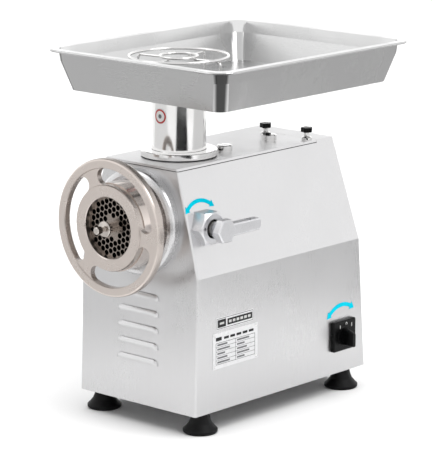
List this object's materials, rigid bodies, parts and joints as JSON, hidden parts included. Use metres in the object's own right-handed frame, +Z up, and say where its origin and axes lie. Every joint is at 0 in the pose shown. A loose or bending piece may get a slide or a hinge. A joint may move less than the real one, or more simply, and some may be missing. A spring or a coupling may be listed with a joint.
{
  "type": "electric meat grinder",
  "caption": "Bench meat grinder: stainless housing, geared motor, front grinding head with hand wheel, feed column and open tray.",
  "frame": {"origin": "on the bench, under the middle of the machine's bounding box", "axes": "+Z up from the bench, -Y out of the grinding head's mouth, +X towards the side with the lever and the switch"},
  "size_m": [0.343, 0.4836, 0.517],
  "materials": {
    "stainless_sheet": "brushed",
    "polished_steel": "polished",
    "nickel_cast": "satin polished",
    "bare_steel": "machined",
    "cast_aluminium": "as cast",
    "black_rubber": "matt",
    "black_plastic": "satin",
    "copper_winding": "varnished",
    "white_plastic": "matt",
    "grey_paint": "semi-gloss",
    "plate_print": "satin",
    "cyan_print": "gloss",
    "sign_enamel": "gloss"
  },
  "bodies": {
    "root": {"housing_shell": "stainless_sheet", "top_cover": "stainless_sheet", "cover_seals": "black_rubber", "rear_panel": "stainless_sheet", "rear_panel_screws": "bare_steel", "base_plate": "stainless_sheet", "rubber_feet": "black_rubber", "foot_screws": "bare_steel", "foot_nuts": "bare_steel", "throat_flange": "polished_steel", "front_collar": "polished_steel", "output_bearings": "bare_steel", "small_bearings": "bare_steel", "shaft_seal": "black_rubber", "gearbox_case": "cast_aluminium", "gearbox_cover": "cast_aluminium", "case_bolts": "bare_steel", "drive_stands": "grey_paint", "motor_casing": "cast_aluminium", "motor_end_shields": "cast_aluminium", "stator_core": "bare_steel", "stator_winding": "copper_winding", "fan_cover": "grey_paint", "run_capacitor": "cast_aluminium", "capacitor_clip": "bare_steel", "terminal_block": "white_plastic", "cable_gland": "black_plastic", "cover_fittings": "polished_steel", "lever_boss": "cast_aluminium", "switch_plate": "black_plastic", "switch_body": "white_plastic", "data_plates": "plate_print", "plate_rivets": "bare_steel", "turning_arrows": "cyan_print"},
    "column": {"feed_column": "polished_steel", "column_sign": "sign_enamel"},
    "tray": {"feed_tray": "stainless_sheet"},
    "guard": {"wire_guard": "polished_steel"},
    "head": {"head_barrel": "nickel_cast", "head_pins": "bare_steel", "perforated_plate": "nickel_cast"},
    "worm": {"auger": "bare_steel", "knife": "bare_steel", "auger_stud": "nickel_cast"},
    "nut": {"ring_nut": "nickel_cast"},
    "wheel": {"hand_wheel": "nickel_cast"},
    "drive": {"output_shaft": "bare_steel", "bull_gear": "bare_steel"},
    "lay": {"layshaft": "bare_steel", "lay_pinion": "bare_steel", "lay_gear": "bare_steel"},
    "rotor": {"motor_shaft": "bare_steel", "motor_pinion": "bare_steel", "rotor_core": "bare_steel", "cooling_fan": "black_plastic"},
    "lever": {"clamp_screw": "bare_steel", "lever_handle": "cast_aluminium"},
    "switch": {"switch_knob": "black_plastic"},
    "knob_1": {"cover_knob_1": "black_plastic"},
    "knob_2": {"cover_knob_2": "black_plastic"}
  },
  "joints": [
    {"name": "head_slide", "type": "slide", "parent": "root", "child": "head", "axis": [0, -1, 0], "range_m": [0, 0.19]},
    {"name": "worm_spin", "type": "hinge", "parent": "head", "child": "worm", "pos_m": [0, -0.15175, 0.2905], "axis": [0, 1, 0], "continuous": true},
    {"name": "nut_travel", "type": "slide", "parent": "head", "child": "nut", "axis": [0, -1, 0], "range_m": [0, 0.02]},
    {"name": "wheel_turn", "type": "hinge", "parent": "nut", "child": "wheel", "pos_m": [0, -0.15175, 0.2905], "axis": [0, 1, 0], "range_deg": [0, 1800]},
    {"name": "drive_spin", "type": "hinge", "parent": "root", "child": "drive", "pos_m": [0, -0.15175, 0.2905], "axis": [0, 1, 0], "continuous": true},
    {"name": "lay_spin", "type": "hinge", "parent": "root", "child": "lay", "pos_m": [0, -0.15175, 0.2155], "axis": [0, 1, 0], "continuous": true},
    {"name": "rotor_spin", "type": "hinge", "parent": "root", "child": "rotor", "pos_m": [0, -0.15175, 0.1675], "axis": [0, 1, 0], "continuous": true},
    {"name": "column_lift", "type": "slide", "parent": "root", "child": "column", "axis": [0, 0, 1], "range_m": [0, 0.13]},
    {"name": "tray_lift", "type": "slide", "parent": "column", "child": "tray", "axis": [0, 0, 1], "range_m": [0, 0.06]},
    {"name": "guard_lift", "type": "slide", "parent": "tray", "child": "guard", "axis": [0, 0, 1], "range_m": [0, 0.08]},
    {"name": "lever_turn", "type": "hinge", "parent": "root", "child": "lever", "pos_m": [0.12, -0.12335, 0.2905], "axis": [1, 0, 0], "range_deg": [0, 180]},
    {"name": "switch_turn", "type": "hinge", "parent": "root", "child": "switch", "pos_m": [0.12, 0.15485, 0.0865], "axis": [1, 0, 0], "range_deg": [-45, 45]},
    {"name": "knob_1_turn", "type": "hinge", "parent": "root", "child": "knob_1", "pos_m": [-0.009, 0.12225, 0.372], "axis": [0, 0, 1], "range_deg": [-180, 180]},
    {"name": "knob_2_turn", "type": "hinge", "parent": "root", "child": "knob_2", "pos_m": [0.059, 0.13425, 0.372], "axis": [0, 0, 1], "range_deg": [-180, 180]}
  ],
  "couplings": [
    {"joint": "worm_spin", "follows": "drive_spin", "ratio": 1},
    {"joint": "lay_spin", "follows": "drive_spin", "ratio": -2.5294},
    {"joint": "rotor_spin", "follows": "drive_spin", "ratio": 7.5882},
    {"joint": "nut_travel", "follows": "wheel_turn", "m_per_rad": 0.00063662}
  ]
}
